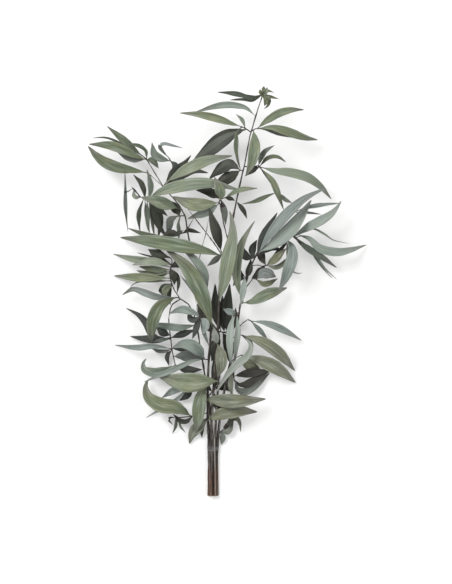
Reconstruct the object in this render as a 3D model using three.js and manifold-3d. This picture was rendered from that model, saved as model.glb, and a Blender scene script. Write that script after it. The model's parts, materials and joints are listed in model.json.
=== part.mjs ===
// A tied bunch of willow-leaved eucalyptus: five cut stems held by one clear band, lying on a table.
// The stems lie along Y, cut ends at low Y and growing tips at high Y. Z points up from the table.
// All lengths are millimetres.
import * as THREE from "three";
import { mergeVertices } from "three/addons/utils/BufferGeometryUtils.js";
import Module from "manifold-3d";

const wasm = await Module();
wasm.setup();

// Driving dimensions
const GAP = 0.35; // clear air between two pieces that touch on the real bunch
const LEAF_GAP = 0.5; // clear air between two leaves that lie over each other
const MIDRIB_THICKNESS = 1.3; // a leaf at its midrib
const PETIOLE = 1.7; // diameter of a leaf stalk
const FOLD = 0.2; // how far the margins rise above the midrib, as a part of the half width
const STEM_SIDES = 7; // sides of a stem's section
const BAND_WIDTH = 7; // the band along the stems
const BAND_THICKNESS = 0.8;
const BAND_Y = 72; // the middle of the band, from the cut ends
const LIFT_STEP = 2.5; // how much a leaf rises at a time until it clears what lies under it
const LIFTS = 16;
const LONG_FROM = 45; // a leaf longer than this has the long outline
const STALK_OF_LONG = 0.13; // the share of a long leaf that may touch its own shoot
const STALK_OF_SHORT = 0.25;

// ---------------------------------------------------------------------------
// Solids
// ---------------------------------------------------------------------------

// A closed geometry as a manifold solid.
function solid(geometry) {
  const bare = geometry.clone();
  bare.deleteAttribute("normal");
  bare.deleteAttribute("uv");
  const merged = mergeVertices(bare, 1e-4);
  const made = new wasm.Manifold(
    new wasm.Mesh({
      numProp: 3,
      vertProperties: merged.attributes.position.array,
      triVerts: new Uint32Array(merged.index.array),
    }),
  );
  return made;
}

// A manifold solid as a flat-shaded geometry.
function geometryOf(made) {
  const mesh = made.getMesh();
  const geometry = new THREE.BufferGeometry();
  const points = [];
  for (let i = 0; i < mesh.numVert; i++) {
    for (let k = 0; k < 3; k++) points.push(mesh.vertProperties[i * mesh.numProp + k]);
  }
  geometry.setAttribute("position", new THREE.Float32BufferAttribute(points, 3));
  geometry.setIndex(Array.from(mesh.triVerts));
  geometry.computeVertexNormals();
  return geometry;
}

// Rings of equal count joined into a closed skin; the last ring may be a single point.
function skin(rings) {
  const points = [];
  const faces = [];
  const starts = [];
  for (const ring of rings) {
    starts.push(points.length);
    points.push(...ring);
  }
  const count = rings[0].length;
  for (let r = 0; r + 1 < rings.length; r++) {
    const a = starts[r];
    const b = starts[r + 1];
    for (let i = 0; i < count; i++) {
      const j = (i + 1) % count;
      if (rings[r + 1].length === 1) {
        faces.push([a + i, a + j, b]);
      } else {
        faces.push([a + i, a + j, b + j], [a + i, b + j, b + i]);
      }
    }
  }
  for (let i = 1; i + 1 < count; i++) faces.push([0, i + 1, i]);
  const last = rings[rings.length - 1];
  if (last.length > 1) {
    const e = starts[rings.length - 1];
    for (let i = 1; i + 1 < count; i++) faces.push([e, e + i, e + i + 1]);
  }
  const geometry = new THREE.BufferGeometry();
  geometry.setAttribute(
    "position",
    new THREE.Float32BufferAttribute(points.flatMap((p) => [p.x, p.y, p.z]), 3),
  );
  geometry.setIndex(faces.flat());
  return geometry;
}

// [x, y, z, x, y, z ...] as points.
function pointsOf(flat) {
  const points = [];
  for (let i = 0; i < flat.length; i += 3) {
    points.push(new THREE.Vector3(flat[i], flat[i + 1], flat[i + 2]));
  }
  return points;
}

// A round stem or twig that tapers along its path.
function twigSolid(path, radiusAtFoot, radiusAtTip, steps, extra, sides) {
  const curve = new THREE.CatmullRomCurve3(path, false, "centripetal");
  const frames = curve.computeFrenetFrames(steps, false);
  const rings = [];
  for (let s = 0; s <= steps; s++) {
    const t = s / steps;
    const centre = curve.getPointAt(t);
    const radius = radiusAtFoot + (radiusAtTip - radiusAtFoot) * t + extra;
    const ring = [];
    for (let i = 0; i < sides; i++) {
      const a = (i / sides) * Math.PI * 2;
      ring.push(
        centre
          .clone()
          .addScaledVector(frames.normals[s], Math.cos(a) * radius)
          .addScaledVector(frames.binormals[s], Math.sin(a) * radius),
      );
    }
    rings.push(ring);
  }
  const made = solid(skin(rings));
  if (made.volume() > 0) return made;
  return solid(skin(rings.map((ring) => ring.slice().reverse())));
}

// ---------------------------------------------------------------------------
// Leaves
// ---------------------------------------------------------------------------

// Width along a long leaf: a thin stalk, widest before the middle, then a long drawn-out tip.
const LONG_LEAF = [
  [0.0, 0.0],
  [0.07, 0.0],
  [0.17, 0.55],
  [0.33, 0.94],
  [0.52, 1.0],
  [0.73, 0.7],
  [0.89, 0.3],
];
const SHORT_LEAF = [
  [0.0, 0.0],
  [0.12, 0.05],
  [0.33, 0.85],
  [0.58, 0.95],
  [0.82, 0.45],
];

// One leaf from its centre line. The section is a thin folded lozenge: left margin, upper side
// of the midrib, right margin, lower side. A roll of 0 shows its upper side to the sky, 90 stands
// it on edge, and 180 shows its underside.
function leafSolid(path, width, roll, length) {
  const curve = new THREE.CatmullRomCurve3(path, false, "centripetal");
  const stations = length > LONG_FROM ? LONG_LEAF : SHORT_LEAF;
  const turn = THREE.MathUtils.degToRad(roll);
  const up = new THREE.Vector3(0, 0, 1);
  const rings = [];
  for (const [t, part] of stations) {
    const centre = curve.getPointAt(t);
    const along = curve.getTangentAt(t);
    const side = new THREE.Vector3().crossVectors(along, up).normalize();
    const face = new THREE.Vector3().crossVectors(side, along).normalize();
    const across = side.clone().multiplyScalar(Math.cos(turn));
    across.addScaledVector(face, Math.sin(turn));
    const out = face.clone().multiplyScalar(Math.cos(turn));
    out.addScaledVector(side, -Math.sin(turn));
    const half = Math.max(PETIOLE / 2, (width / 2) * part);
    const thick = part > 0.1 ? MIDRIB_THICKNESS / 2 : PETIOLE / 2;
    const rise = part > 0.1 ? half * FOLD : 0;
    rings.push([
      centre.clone().addScaledVector(across, -half).addScaledVector(out, rise),
      centre.clone().addScaledVector(out, thick),
      centre.clone().addScaledVector(across, half).addScaledVector(out, rise),
      centre.clone().addScaledVector(out, -thick),
    ]);
  }
  rings.push([curve.getPointAt(1)]);
  const made = solid(skin(rings));
  if (made.volume() > 0) return made;
  return solid(skin(rings.map((ring) => ring.slice().reverse())));
}

// A leaf's centre line: its foot on the twig, then the given plan points. The height runs from the
// foot through the middle height to the tip height, as a smooth arch.
function leafPath(foot, spec, lift, shift) {
  const [, , zMid, zTip, ...plan] = spec;
  const count = plan.length / 2;
  const points = [foot.clone()];
  const flat = [[foot.x, foot.y]];
  for (let i = 0; i < count; i++) flat.push([plan[2 * i], plan[2 * i + 1]]);
  let total = 0;
  const run = [0];
  for (let i = 1; i < flat.length; i++) {
    total += Math.hypot(flat[i][0] - flat[i - 1][0], flat[i][1] - flat[i - 1][1]);
    run.push(total);
  }
  const end = flat[flat.length - 1];
  const sx = -(end[1] - foot.y) / total;
  const sy = (end[0] - foot.x) / total;
  const middle = zMid + lift;
  const tip = zTip + lift;
  for (let i = 1; i < flat.length; i++) {
    const t = run[i] / total;
    const z =
      foot.z * (1 - t) * (1 - 2 * t) + middle * 4 * t * (1 - t) + tip * t * (2 * t - 1);
    const sway = shift * Math.sin((Math.PI * Math.min(t, 0.75)) / 1.5);
    points.push(new THREE.Vector3(flat[i][0] + sx * sway, flat[i][1] + sy * sway, z));
  }
  return { points, length: total };
}

// ---------------------------------------------------------------------------
// The woody stems, from cut end to growing tip: [foot radius, tip radius, x, y, z ...],
// then their side twigs. Each stem with its twigs grew as one piece.
// ---------------------------------------------------------------------------

const STEMS = {
  top_stem: [
    [2.7, 1.0, -3.2, 0, 8.0, -3.2, 70, 9.7, -2.6, 110, 13.8, 0, 150, 20.5, 3, 200, 29, 7, 250, 36,
      9, 300, 41, 13, 350, 45, 23, 390, 48, 31, 425, 51, 36, 450, 53, 43, 482, 56, 49, 508, 58,
      54, 537, 60, 61, 562, 61, 68, 585, 60, 73, 600, 58],
    [1.1, 0.8, 16, 361, 46, 2, 382, 49, -10, 398, 50.5, -28, 421, 53, -40, 437, 53],
    [1.1, 0.8, 22, 388, 48, 15, 416, 52, 11, 440, 54, 5, 459, 54],
  ],
  right_stem: [
    [2.7, 1.1, 5.8, 0, 2.8, 5.8, 70, 4.5, 9.4, 110, 8, 15, 150, 14, 25, 200, 22, 35, 245, 30,
      40, 285, 36, 49, 322, 40, 60, 356, 44, 78, 386, 47, 100, 410, 50, 118, 428, 52],
    [1.0, 0.8, 46, 312, 39, 54, 322, 36, 60, 330, 34],
    [1.1, 0.8, 57, 348, 43, 66, 350, 40, 74, 348, 38],
    [1.2, 0.9, 76, 384, 47, 92, 394, 44, 116, 393, 40],
    [1.1, 0.8, 36, 250, 31, 42, 260, 32, 52, 268, 32],
    [1.1, 0.8, 26, 203, 22.5, 33, 209, 20, 42, 214, 17],
    [1.1, 0.8, 19, 170, 17, 26, 180, 14, 30, 190, 11],
  ],
  left_stem: [
    [2.7, 1.0, -6.2, 0, 2.8, -6.2, 70, 4.5, -7.8, 120, 10, -8, 170, 18, -6, 215, 26, -3, 255, 33,
      -7, 300, 37, -17, 340, 38, -32, 372, 40, -38, 400, 44, -43, 428, 48, -55, 445, 50,
      -72, 464, 52, -86, 486, 53, -98, 506, 52],
    [1.0, 0.7, -22, 352, 39, -17, 375, 40, -10, 400, 41, -7, 418, 42],
    [1.0, 0.7, -38.5, 403, 44.5, -30, 418, 45, -22, 432, 46],
    [1.2, 0.9, -45, 432, 48, -60, 437, 43, -82, 443, 40],
    [1.0, 0.7, -70, 462, 52, -82, 474, 48, -98, 488, 46],
    [1.0, 0.7, -68, 459, 52, -63, 480, 55, -60, 500, 56],
  ],
  middle_stem: [
    [2.6, 1.0, -0.2, 0, 2.7, -0.2, 70, 4.4, -3, 120, 4.4, -12, 180, 9.5, -20, 230, 18,
      -26, 265, 25, -34, 288, 29, -50, 300, 31, -58, 312, 33],
    [1.0, 0.7, -25, 260, 24, -24, 285, 31, -30, 312, 35],
    [1.1, 0.9, -48, 299, 31, -62, 290, 27, -67, 270, 23],
    [1.1, 0.9, -4, 130, 5, -12, 125, 6.5, -20, 123, 7.5],
  ],
  short_stem: [
    [2.6, 1.4, 2.7, 0, 7.9, 2.7, 70, 9.6, 4, 110, 13.6, 6.5, 150, 21, 8, 190, 33, 4, 225, 42,
      -4, 252, 46, -15, 276, 47],
  ],
};

// Steps along each stem; a side twig has five.
const STEM_STEPS = { top_stem: 30, right_stem: 22, left_stem: 26, middle_stem: 22, short_stem: 14 };

// ---------------------------------------------------------------------------
// The leaves. A leaf that stands alone on a stem is one piece. A side shoot is a thin twig with
// the leaves that grew on it, also one piece. Rows: name, the shoot's twig (or null), its leaves.
// A leaf: width, roll, middle height, tip height, then its plan points from foot to tip.
// Within the list, lower pieces come before the ones that lie over them.
// ---------------------------------------------------------------------------

const FOLIAGE = [
  ["foot_left_leaf", null, [[18, 10, 10, 3, -8, 122, -20, 108, -30, 98, -36, 79]]],
  ["foot_right_shoot", [7.5, 95, 6.5, 12, 98, 8, 16, 102, 9], [
    [9, 160, 9, 8, 14, 100, 20, 106, 27, 113],
    [10, 160, 6, 3, 11, 97, 14, 90, 12, 77],
    [15, 30, 7, 4, 11, 97, 20, 97, 31, 115],
    [8, 30, 12, 2, 16, 102, 30, 118, 38, 116, 42, 97],
  ]],
  ["foot_left_shoot", [-20, 123, 7.5, -34, 121, 8, -54, 119, 7, -58, 120, 8], [
    [9, 50, 8, 2, -57, 119, -57, 108, -62, 94],
    [5, 40, 9, 5, -57, 120, -68, 117, -61, 108],
    [4, 30, 6, 2, -52, 119, -50, 106, -42, 96],
    [10, 150, 12, 9, -30, 121, -45, 113, -61, 125],
    [24, -6, 30, 12, -33, 123, -55, 135, -81, 140, -97, 151, -102, 164, -99, 176],
    [10, 172, 6, 4, -25, 122, -19, 108, -17, 88],
  ]],
  ["low_left_twiglet", [-12, 178, 9.5, -24, 172, 12, -38, 167, 15], [
    [9, 30, 10, 3, -36, 167, -52, 150, -78, 133, -103, 118],
    [15, 160, 12, 8, -34, 168, -42, 158, -54, 147],
    [14, 30, 18, 10, -37, 167, -58, 162, -78, 149],
    [8, 60, 22, 20, -38, 168, -60, 171, -82, 179],
  ]],
  ["low_heart_shoot", [-8, 150, 6.5, -3, 156, 4.5, 3, 162, 4], [
    [15, 178, 5, 5, 2, 160, 4, 184, 2, 214],
    [14, 176, 5, 5, -1, 158, -14, 170, -34, 186],
    [13, 178, 5, 4, 0, 158, 6, 140, 12, 118],
    [12, 174, 7, 5, 2, 162, 16, 166, 26, 158],
    [12, 176, 7, 5, -2, 156, -8, 140, -20, 122],
    [14, 177, 5, 4, 2, 161, 18, 182, 24, 208],
  ]],
  ["dark_heart_shoot", [33, 240, 29, 26, 244, 22, 18, 248, 18, 8, 250, 16], [
    [18, 175, 18, 24, 22, 246, 21, 275, 25, 322],
    [16, 178, 14, 12, 14, 249, 22, 232, 24, 204],
    [15, 178, 14, 12, 10, 250, 4, 232, -2, 204],
    [15, 176, 18, 22, 12, 249, 5, 272, 3, 322],
    [15, 178, 12, 16, 17, 248, 14, 270, 14, 304],
    [16, 178, 12, 14, 9, 250, -10, 262, -24, 292],
    [12, 174, 20, 22, 9, 250, -6, 256, -16, 272],
    [12, 178, 18, 16, 18, 248, 32, 262, 34, 286],
  ]],
  ["low_right_leaf", null, [[21, 5, 22, 4, -6, 112, 8, 124, 38, 130, 67, 128]]],
  ["low_right_shoot", [30, 190, 11, 31, 184, 12, 32, 176, 13], [
    [14, 20, 8, 4, 32, 176, 40, 158, 60, 164, 86, 187],
    [12, 160, 16, 14, 32, 177, 42, 168, 62, 176, 85, 189],
    [14, 178, 22, 20, 31, 182, 50, 186, 87, 191],
    [9, 10, 24, 18, 30, 187, 26, 172, 29, 150],
  ]],
  ["right_foot_shoot", [41, 213.5, 17, 45, 214, 18, 48, 213, 18.5], [
    [18, 8, 12, 6, 43, 213, 52, 201, 74, 189],
    [22, 5, 26, 3, 47, 213, 68, 207, 95, 195, 125, 172],
  ]],
  ["low_left_shoot", [-66.9, 270, 23, -66, 256, 22, -64, 240, 20, -62, 222, 19, -57, 198, 16], [
    [8, 170, 12, 5, -62, 222, -70, 212, -67, 197],
    [8, 150, 16, 8, -62, 223, -78, 220, -94, 224],
    [13, 175, 14, 6, -64, 238, -92, 238, -126, 242],
    [15, -10, 18, 12, -58, 199, -76, 190, -98, 189, -107, 198, -101, 209],
    [13, 150, 24, 8, -64, 239, -88, 242, -98, 260, -112, 275, -132, 285],
    [14, 178, 26, 20, -65, 244, -76, 249, -86, 257],
    [8, 50, 27, 18, -64, 241, -80, 241, -94, 237],
    [12, 160, 27, 28, -64, 240, -45, 246, -26, 253],
    [18, 178, 24, 24, -60, 212, -38, 213, -12, 210],
    [14, 178, 10, 8, -62, 224, -44, 226, -22, 230],
    [13, 178, 10, 8, -57, 200, -40, 192, -16, 192],
    [10, 15, 26, 3, -62, 224, -90, 228, -115, 226, -150, 229],
  ]],
  ["middle_end_shoot", [-58, 312, 33, -63, 325, 35, -65, 340, 36, -61, 357, 37, -67, 363, 37], [
    [7, 50, 20, 10, -63, 326, -100, 327, -119, 323, -127, 314],
    [14, 5, 32, 2, -64, 330, -96, 331, -122, 332, -151, 334],
    [10, 5, 30, 20, -65, 340, -84, 339, -106, 338],
    [12, 25, 34, 22, -65, 343, -88, 344, -112, 348],
    [10, 40, 36, 26, -62, 322, -80, 316, -74, 302],
    [11, 15, 40, 40, -61, 320, -72, 312, -70, 300],
    [8, 150, 38, 30, -64, 345, -53, 331, -54, 307],
    [13, 178, 46, 34, -65, 343, -60, 337, -58, 320],
    [12, 10, 34, 8, -64, 347, -95, 356, -120, 359, -152, 367],
    [13, -10, 40, 30, -63, 350, -92, 355, -122, 350],
    [7, 120, 32, 22, -64, 361, -95, 364, -115, 369],
    [16, 175, 40, 26, -66, 362, -82, 366, -98, 374],
    [12, 178, 24, 14, -64, 352, -86, 358, -112, 356],
    [12, 8, 22, 12, -64, 338, -86, 332, -116, 338],
    [11, 176, 26, 22, -62, 322, -68, 308, -64, 290],
    [13, 176, 30, 26, -64, 346, -52, 352, -34, 350],
  ]],
  ["long_slate_leaf", null, [[12, 5, 36, 24, -26, 260, -50, 256, -74, 259, -98, 264]]],
  ["bent_leaf_shoot", [-50, 300, 31, -54, 301, 34, -58, 301, 36], [
    [13, 20, 38, 12, -57, 302, -80, 302, -102, 309, -120, 314, -137, 305],
    [20, 12, 60, 22, -56, 300, -71, 294, -84, 284, -91, 260, -93, 233],
  ]],
  ["thin_grey_leaf", null, [[7, 40, 44, 46, -27, 303, -34, 318, -49, 334]]],
  ["inner_left_leaf", null, [[12, 10, 40, 16, -36, 384, -60, 386, -90, 392, -129, 406]]],
  ["left_short_shoot", [-38, 399, 44, -44, 398, 43, -52, 396, 40], [
    [12, 175, 30, 24, -51, 396, -66, 398, -78, 392],
    [9, 150, 42, 40, -44, 398, -50, 399, -60, 392],
    [7, 160, 36, 34, -46, 398, -38, 402, -18, 398],
  ]],
  ["left_end_shoot", [-82, 443, 40, -92, 446, 40, -103, 449, 39, -112, 454, 39], [
    [11, 50, 20, 6, -96, 447, -93, 418, -89, 394],
    [9, 40, 26, 12, -99, 448, -96, 420, -92, 398],
    [7, 60, 26, 10, -102, 449, -102, 420, -98, 400],
    [11, 55, 24, 8, -104, 449, -112, 432, -113, 415, -110, 397],
    [12, 170, 24, 14, -93, 446, -90, 420, -82, 402, -72, 390],
    [14, 178, 22, 12, -96, 447, -89, 430, -88, 408, -91, 392],
    [13, 176, 30, 24, -90, 445, -76, 440, -56, 444],
    [11, 150, 36, 28, -92, 446, -82, 438, -66, 427],
    [10, 60, 46, 10, -109, 452, -122, 466, -131, 460, -132, 435, -129, 400],
    [7, 20, 42, 40, -108, 452, -117, 452, -119, 463],
    [8, 60, 46, 44, -111, 454, -115, 460, -123, 468],
    [9, 180, 48, 40, -101, 449, -106, 470, -120, 486],
    [11, 35, 54, 48, -97, 448, -92, 466, -94, 478, -99, 493],
    [21, 10, 62, 50, -98, 448, -80, 458, -40, 468, 0, 470, 40, 461],
  ]],
  ["far_left_leaf", null, [[18, -8, 46, 3, -97, 489, -118, 491, -148, 497, -172, 511, -190, 531]]],
  ["left_top_shoot", [-98, 506, 52, -104, 512, 52, -114, 518, 51], [
    [12, 160, 44, 34, -100, 508, -120, 509, -148, 524],
    [7, 40, 46, 40, -112, 517, -140, 529, -163, 532],
    [7, 50, 52, 40, -111, 517, -148, 537, -165, 541, -181, 540],
    [15, 6, 58, 30, -99, 506, -116, 513, -148, 527, -187, 532],
    [12, -15, 58, 50, -107, 514, -134, 528, -163, 551],
    [8, 40, 62, 56, -99, 507, -100, 521, -112, 528, -129, 530],
    [11, 20, 59, 56, -99, 507, -91, 506, -81, 494],
  ]],
  ["left_blue_shoot", [-60, 500, 56, -63, 505, 57, -66, 510, 58], [
    [10, 175, 58, 52, -63, 505, -57, 499, -51, 486],
    [13, 10, 60, 56, -63, 505, -76, 508, -86, 514, -91, 533],
    [8, 30, 66, 60, -66, 510, -76, 520, -80, 529, -66, 528, -45, 524],
  ]],
  ["left_inner_shoot", [-42, 423, 47, -47, 424, 44, -52, 423, 41], [
    [9, 55, 34, 20, -48, 424, -57, 416, -59, 404, -59, 389],
    [13, 170, 36, 18, -51, 423, -62, 420, -66, 410, -70, 397],
    [15, 177, 34, 31, -50, 424, -56, 435, -68, 448],
  ]],
  ["left_inner_leaf", null, [[20, 8, 58, 54, -53, 436, -68, 440, -86, 446, -107, 451]]],
  ["long_light_shoot", [-74, 466, 52, -72, 470, 55, -69, 474, 57], [
    [14, 172, 50, 44, -73, 468, -50, 479, -30, 487, -6, 484],
    [19, 8, 66, 52, -70, 473, -56, 482, -28, 497, 0, 507, 29, 513],
    [12, 178, 46, 40, -71, 471, -56, 488, -40, 500, -30, 512],
  ]],
  ["centre_left_shoot", [11, 440, 54, 9, 444, 57, 12, 448, 58, 18, 450, 58], [
    [13, 20, 48, 36, 10, 442, -8, 429, -22, 425, -38, 419],
    [21, 8, 62, 54, 9, 443, -12, 440, -34, 441, -60, 452],
    [7, 170, 58, 52, 17, 450, 25, 449, 33, 446],
    [17, 10, 66, 68, 11, 447, 12, 455, 8, 468, 2, 480],
    [9, 20, 62, 60, 18, 450, 40, 461, 67, 464],
    [15, 176, 46, 40, 12, 447, -6, 460, -26, 462],
    [11, 178, 46, 40, 12, 446, 17, 430, 19, 410],
  ]],
  ["small_dark_leaf", null, [[8, 170, 52, 46, 37, 444, 45, 432, 51, 419]]],
  ["centre_dark_shoot", [45, 490, 57, 42, 491, 58.5, 39, 491, 59], [
    [19, 175, 52, 42, 41, 491, 28, 483, 14, 476, 0, 467],
    [19, 178, 58, 50, 41, 491, 26, 502, 10, 496, -6, 482],
  ]],
  ["upright_left_leaf", null, [[14, 0, 50, 42, -7, 312, -13, 338, -27, 358, -49, 377]]],
  ["hanging_twin_shoot", [39, 278, 34.5, 36, 278, 38, 33, 276, 40], [
    [10, 20, 44, 30, 36, 278, 37, 252, 34, 224, 32, 199],
    [11, 10, 46, 44, 35, 277, 28, 279, 15, 284],
    [12, 10, 54, 40, 34, 277, 28, 264, 25, 240, 27, 197],
  ]],
  ["right_fork_shoot", [50, 324, 40.5, 49, 329, 45, 48, 333, 47], [
    [11, 170, 38, 36, 49, 329, 38, 330, 30, 318],
    [11, 10, 56, 50, 48, 333, 46, 318, 41, 289],
    [13, 178, 36, 34, 48, 332, 34, 344, 32, 366],
    [11, 176, 35, 33, 49, 331, 55, 344, 57, 360],
  ]],
  ["elbow_shoot", [41, 290, 36.5, 44, 293, 40, 45, 296, 42], [
    [18, 8, 40, 14, 44, 293, 58, 295, 82, 306, 112, 316],
    [15, 8, 60, 62, 45, 296, 40, 322, 42, 350, 53, 385, 70, 414],
  ]],
  ["right_thin_shoot", [52, 268, 32, 55, 267, 32, 59, 265, 31], [
    [9, 30, 22, 8, 56, 266, 66, 256, 84, 236],
    [12, 12, 30, 10, 58, 266, 78, 263, 102, 254, 134, 236],
  ]],
  ["right_big_shoot", [35, 244, 30, 41, 245, 32, 45, 244, 33], [
    [11, 40, 30, 24, 43, 244, 52, 238, 61, 227],
    [20, 5, 40, 3, 44, 244, 71, 236, 97, 219, 124, 190],
    [12, 8, 46, 40, 44, 244, 56, 232, 54, 218, 36, 202, 20, 184, 4, 158],
  ]],
  ["right_olive_shoot", [60, 330, 34, 64, 329, 35, 68, 330, 35], [
    [10, 10, 28, 20, 64, 329, 78, 321, 98, 330],
    [18, 5, 40, 32, 66, 330, 78, 338, 95, 332],
  ]],
  ["right_green_shoot", [74, 348, 38, 78, 349, 39, 82, 350, 40], [
    [9, 20, 42, 36, 80, 350, 97, 346, 113, 362],
    [8, 160, 44, 40, 81, 350, 96, 366, 114, 388],
    [13, 0, 50, 50, 80, 350, 92, 358, 110, 375],
    [15, 176, 32, 28, 78, 349, 70, 338, 58, 330],
    [13, 178, 34, 30, 79, 350, 72, 366, 78, 384],
  ]],
  ["right_end_shoot", [116, 393, 40, 121, 392, 39, 126, 390, 38], [
    [5, 45, 22, 4, 123, 391, 145, 375, 160, 352, 181, 330],
    [5, 45, 24, 6, 124, 391, 150, 372, 164, 350, 188, 328],
    [12, 10, 28, 12, 122, 392, 140, 376, 162, 363, 187, 346],
    [14, 8, 42, 3, 124, 391, 138, 394, 154, 378, 175, 370, 200, 371, 233, 381],
    [5, 50, 44, 36, 121, 392, 152, 404, 166, 396, 174, 389, 205, 382],
    [15, 10, 56, 46, 120, 392, 140, 405, 163, 417, 181, 430, 192, 446],
  ]],
  ["right_hanging_shoot", [104, 394, 43, 108, 391, 46, 111, 389, 47], [
    [8, 40, 30, 18, 110, 390, 112, 350, 118, 337, 132, 337],
    [19, 5, 60, 36, 110, 389, 119, 372, 112, 342, 99, 311],
  ]],
  ["right_tip_shoot", [118, 428, 52, 121, 429, 52, 125, 431, 52], [
    [6, 40, 46, 38, 121, 429, 140, 428, 163, 426],
    [9, 40, 50, 36, 124, 431, 155, 438, 193, 443],
  ]],
  ["right_blue_shoot", [60, 357, 44, 64, 362, 48, 70, 370, 52], [
    [12, 170, 44, 42, 62, 359, 59, 372, 66, 388],
    [14, 176, 40, 38, 62, 360, 48, 364, 40, 384],
    [12, 178, 44, 40, 66, 366, 86, 376, 104, 372],
    [14, 165, 56, 58, 65, 364, 76, 392, 96, 428],
    [23, 6, 64, 52, 69, 369, 96, 385, 122, 410, 147, 447],
    [17, 12, 74, 62, 66, 366, 86, 396, 112, 427, 141, 451, 169, 464],
  ]],
  ["middle_right_leaf", null, [[22, 5, 30, 12, -7, 136, 8, 147, 38, 149, 79, 152]]],
  ["left_hanging_leaf", null, [[22, 8, 26, 8, -7, 172, -16, 160, -21, 140, -23, 118, -26, 96]]],
  ["left_broad_leaf", null, [[31, 6, 40, 26, 7, 176, -14, 175, -34, 174, -58, 177, -83, 183]]],
  ["left_bow_shoot", [-6.5, 208, 25, -11, 208, 29, -14, 209, 31], [
    [10, 20, 40, 14, -12, 208, -32, 206, -58, 194, -82, 184, -105, 173],
    [19, -5, 52, 38, -13, 209, -24, 224, -40, 232, -61, 226],
  ]],
  ["middle_taupe_shoot", [4, 226, 42, 6, 230, 45, 7, 233, 47], [
    [12, 10, 54, 56, 6, 231, 4, 242, 1, 258],
    [19, 5, 56, 44, 7, 232, 12, 215, 12, 200, 7, 182],
  ]],
  ["short_end_shoot", [-15, 276, 47, -18, 274, 50, -19, 270, 51], [
    [13, 150, 44, 38, -18, 271, -25, 258, -31, 239],
    [11, 165, 48, 42, -18, 272, -31, 268, -38, 281],
    [7, 20, 56, 46, -18, 271, -14, 250, -6, 229],
    [12, 15, 58, 52, -18, 271, -10, 262, -16, 245],
    [13, 15, 58, 46, -18, 273, -32, 280, -46, 284, -66, 277],
  ]],
  ["big_left_leaf", null, [[23, 5, 58, 10, 13, 361, 0, 368, -30, 375, -75, 383, -110, 388, -141, 392]]],
  ["big_centre_leaf", null, [[26, 10, 62, 44, -4, 256, -9, 285, -22, 320, -42, 350, -73, 376]]],
  ["upright_dark_shoot", [17, 365, 47, 14, 368, 50, 12, 370, 51], [
    [10, 170, 50, 48, 14, 367, 4, 358, -9, 348],
    [17, 176, 62, 56, 13, 370, 5, 400, -1, 418, -6, 435],
  ]],
  ["tall_light_leaf", null, [[23, 5, 72, 74, 9, 292, 16, 322, 24, 364, 30, 402, 25, 430]]],
  ["right_arch_shoot", [46, 497, 57, 57, 496, 55, 68, 498, 52, 76, 487, 50, 88, 470, 47, 96, 457, 45], [
    [9, 40, 44, 46, 95, 458, 82, 454, 65, 447, 43, 441],
    [9, 30, 42, 36, 95, 458, 106, 449, 119, 443],
    [12, 35, 58, 36, 71, 494, 86, 477, 98, 452, 106, 433],
    [10, 20, 60, 62, 68, 498, 74, 514, 81, 521, 92, 528],
    [9, 35, 58, 46, 69, 497, 84, 510, 98, 510, 109, 504],
    [11, 176, 50, 44, 70, 496, 58, 492, 48, 483],
    [16, 8, 64, 12, 70, 496, 95, 489, 130, 484, 158, 470, 179, 450],
  ]],
  ["whorl_left_shoot", [56, 548, 60.5, 50, 552, 62.5, 42, 556, 62], [
    [20, 180, 52, 14, 50, 552, 27, 542, 5, 528, -16, 514, -37, 503],
    [12, 178, 40, 12, 50, 552, 24, 549, 0, 537, -28, 512],
    [13, 12, 68, 52, 43, 556, 25, 561, 5, 568, -22, 574, -50, 577],
    [9, 55, 68, 68, 48, 553, 44, 566, 34, 574],
    [13, 60, 70, 50, 44, 555, 36, 549, 33, 530, 35, 510, 41, 493],
  ]],
  ["whorl_right_shoot", [56, 547, 60.5, 62, 552, 62, 67, 553, 61], [
    [10, 150, 54, 30, 65, 553, 80, 552, 100, 546, 126, 541],
    [14, 10, 62, 22, 66, 553, 85, 554, 108, 549, 135, 541, 158, 539],
    [13, -12, 76, 60, 66, 553, 80, 564, 99, 575, 118, 580, 136, 581],
    [18, 5, 74, 60, 60, 551, 62, 535, 61, 516, 57, 500, 49, 482],
  ]],
  ["top_blue_leaf", null, [[11, 15, 64, 40, 63, 572, 48, 584, 15, 588, -28, 579]]],
  ["bud_shoot", [73, 600, 58, 74, 604, 58.5, 75, 607, 59], [
    [10, 62, 54, 46, 74, 603, 60, 597, 45, 598, 25, 597],
    [13, 58, 64, 50, 74, 604, 60, 600, 45, 603, 30, 606, 7, 608],
    [5, 20, 58, 50, 74, 604, 88, 600, 99, 598],
    [6, 30, 56, 52, 74, 603, 83, 595, 82, 588, 76, 583],
    [7, 50, 64, 62, 75, 606, 84, 608, 91, 606],
    [8, 10, 60, 58, 75, 606, 75.5, 611, 76, 617],
    [9, 20, 58, 52, 74, 602, 79, 596, 77, 587],
    [8, -20, 60, 58, 75, 605, 79, 608, 81, 614],
    [8, 30, 60, 58, 74, 604, 71, 607, 70, 612],
    [7, 40, 60, 54, 74, 602, 82, 600, 87, 592],
  ]],
];

// ---------------------------------------------------------------------------
// Building the bunch
// ---------------------------------------------------------------------------

function boxOf(made) {
  const box = made.boundingBox();
  return new THREE.Box3(new THREE.Vector3(...box.min), new THREE.Vector3(...box.max));
}

// True when two solids come closer than the gap.
function tooClose(a, b, gap) {
  const reach = a.box.clone().expandByScalar(gap);
  if (!reach.intersectsBox(b.box)) return false;
  return a.made.minGap(b.made, gap * 2) < gap;
}

function entry(made) {
  return { made, box: boxOf(made) };
}

// The largest connected body of a solid.
function mainBody(made) {
  let best = null;
  for (const body of made.decompose()) {
    if (!best || body.volume() > best.volume()) best = body;
  }
  return best;
}

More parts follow.
